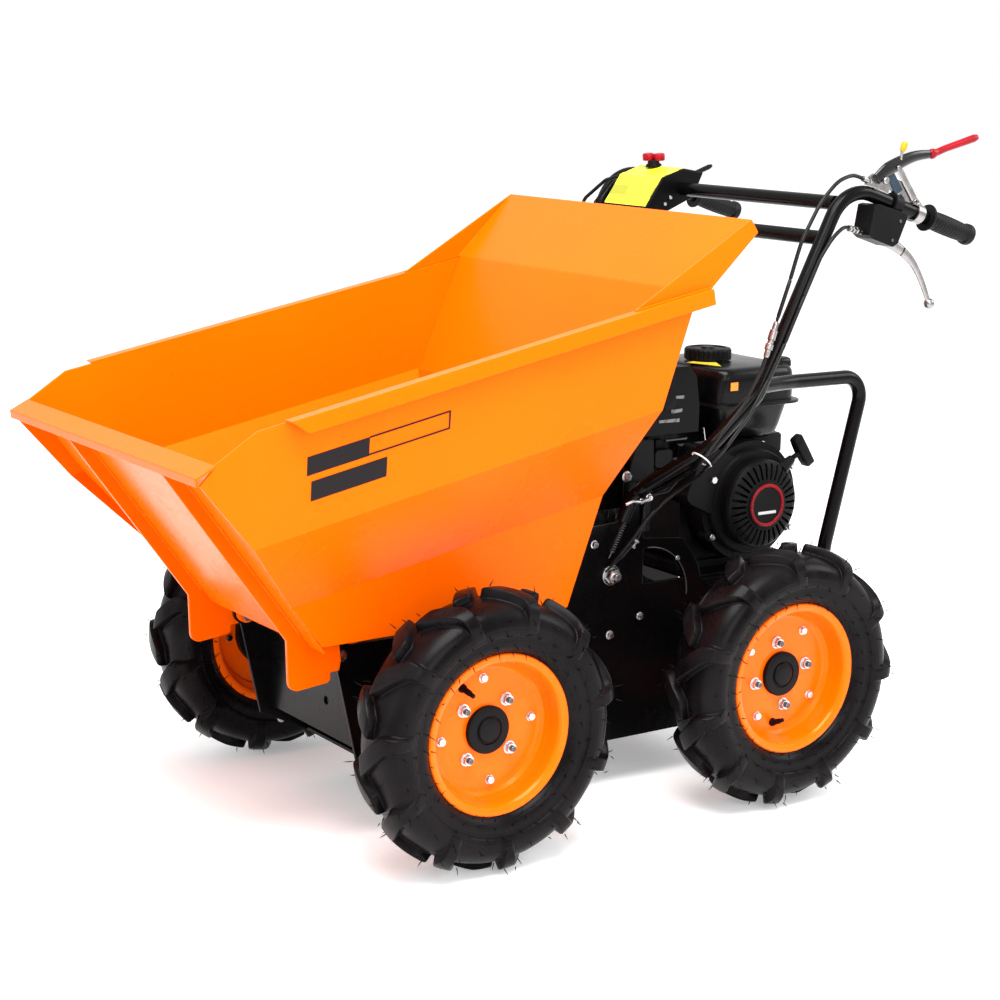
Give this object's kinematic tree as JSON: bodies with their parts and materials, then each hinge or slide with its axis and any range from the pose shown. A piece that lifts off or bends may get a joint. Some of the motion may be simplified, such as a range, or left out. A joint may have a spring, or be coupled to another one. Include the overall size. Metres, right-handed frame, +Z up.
{
  "type": "motorized wheeled dumper",
  "caption": "Walk-behind motorized dumper: a tipping sheet-steel skip over a four-wheel-drive chassis, with a petrol engine, bent tube handlebars, hand controls and lugged tyres.",
  "frame": {"origin": "on the ground, under the middle of the machine's length and width", "axes": "+X forward, towards the skip's lip; +Y to the operator's left; +Z up"},
  "size_m": [1.3662, 0.737, 1.0011],
  "materials": {
    "orange_paint": "gloss",
    "black_paint": "gloss",
    "tyre": "satin",
    "black_plastic": "satin",
    "plated_steel": "polished",
    "cast_metal": "satin",
    "dark_steel": "matte",
    "grip_rubber": "matte",
    "red_plastic": "gloss",
    "cable_sheath": "satin"
  },
  "bodies": {
    "chassis": {"side_plate_left": "black_paint", "side_plate_right": "black_paint", "front_plate": "black_paint", "floor_plate": "black_paint", "deck_plate": "black_paint", "axle_front": "cast_metal", "axle_rear": "cast_metal", "gearbox": "cast_metal", "engine_block": "cast_metal", "blower": "black_plastic", "starter": "black_plastic", "starter_pull": "black_plastic", "fuel_tank": "black_plastic", "fuel_cap": "black_plastic", "air_box": "black_plastic", "carburettor": "cast_metal", "muffler": "dark_steel", "handle_left": "black_paint", "handle_right": "black_paint", "crossbar_upper": "black_paint", "crossbar_lower": "black_paint", "guard_left": "black_paint", "guard_right": "black_paint", "grip_left": "grip_rubber", "grip_right": "grip_rubber", "clutch_lever": "red_plastic", "brake_lever": "plated_steel", "lever_bracket": "black_paint", "lever_housing": "black_paint", "console": "black_paint", "stop_knob": "red_plastic", "throttle": "black_plastic", "cables_left": "cable_sheath", "cables_right": "cable_sheath"},
    "skip": {"skip_left": "orange_paint", "skip_right": "orange_paint", "skip_front": "orange_paint", "skip_rear": "orange_paint", "skip_floor": "orange_paint", "hood": "orange_paint", "rib_left": "orange_paint", "rib_right": "orange_paint", "tip_pin": "plated_steel"},
    "wheel_front_left": {"tyre_front_left": "tyre", "rim_front_left": "orange_paint", "hub_front_left": "black_plastic", "nuts_front_left": "plated_steel"},
    "wheel_front_right": {"tyre_front_right": "tyre", "rim_front_right": "orange_paint", "hub_front_right": "black_plastic", "nuts_front_right": "plated_steel"},
    "wheel_rear_left": {"tyre_rear_left": "tyre", "rim_rear_left": "orange_paint", "hub_rear_left": "black_plastic", "nuts_rear_left": "plated_steel"},
    "wheel_rear_right": {"tyre_rear_right": "tyre", "rim_rear_right": "orange_paint", "hub_rear_right": "black_plastic", "nuts_rear_right": "plated_steel"}
  },
  "joints": [
    {"name": "wheel_front_left_spin", "type": "hinge", "parent": "chassis", "child": "wheel_front_left", "pos_m": [0.2555, 0.316, 0.2], "axis": [0, 1, 0], "continuous": true},
    {"name": "wheel_front_right_spin", "type": "hinge", "parent": "chassis", "child": "wheel_front_right", "pos_m": [0.2555, -0.316, 0.2], "axis": [0, 1, 0], "continuous": true},
    {"name": "wheel_rear_left_spin", "type": "hinge", "parent": "chassis", "child": "wheel_rear_left", "pos_m": [-0.2775, 0.316, 0.2], "axis": [0, 1, 0], "continuous": true},
    {"name": "wheel_rear_right_spin", "type": "hinge", "parent": "chassis", "child": "wheel_rear_right", "pos_m": [-0.2775, -0.316, 0.2], "axis": [0, 1, 0], "continuous": true},
    {"name": "skip_tip", "type": "hinge", "parent": "chassis", "child": "skip", "pos_m": [0.3865, 0, 0.282], "axis": [0, 1, 0], "range_deg": [0, 70]}
  ]
}
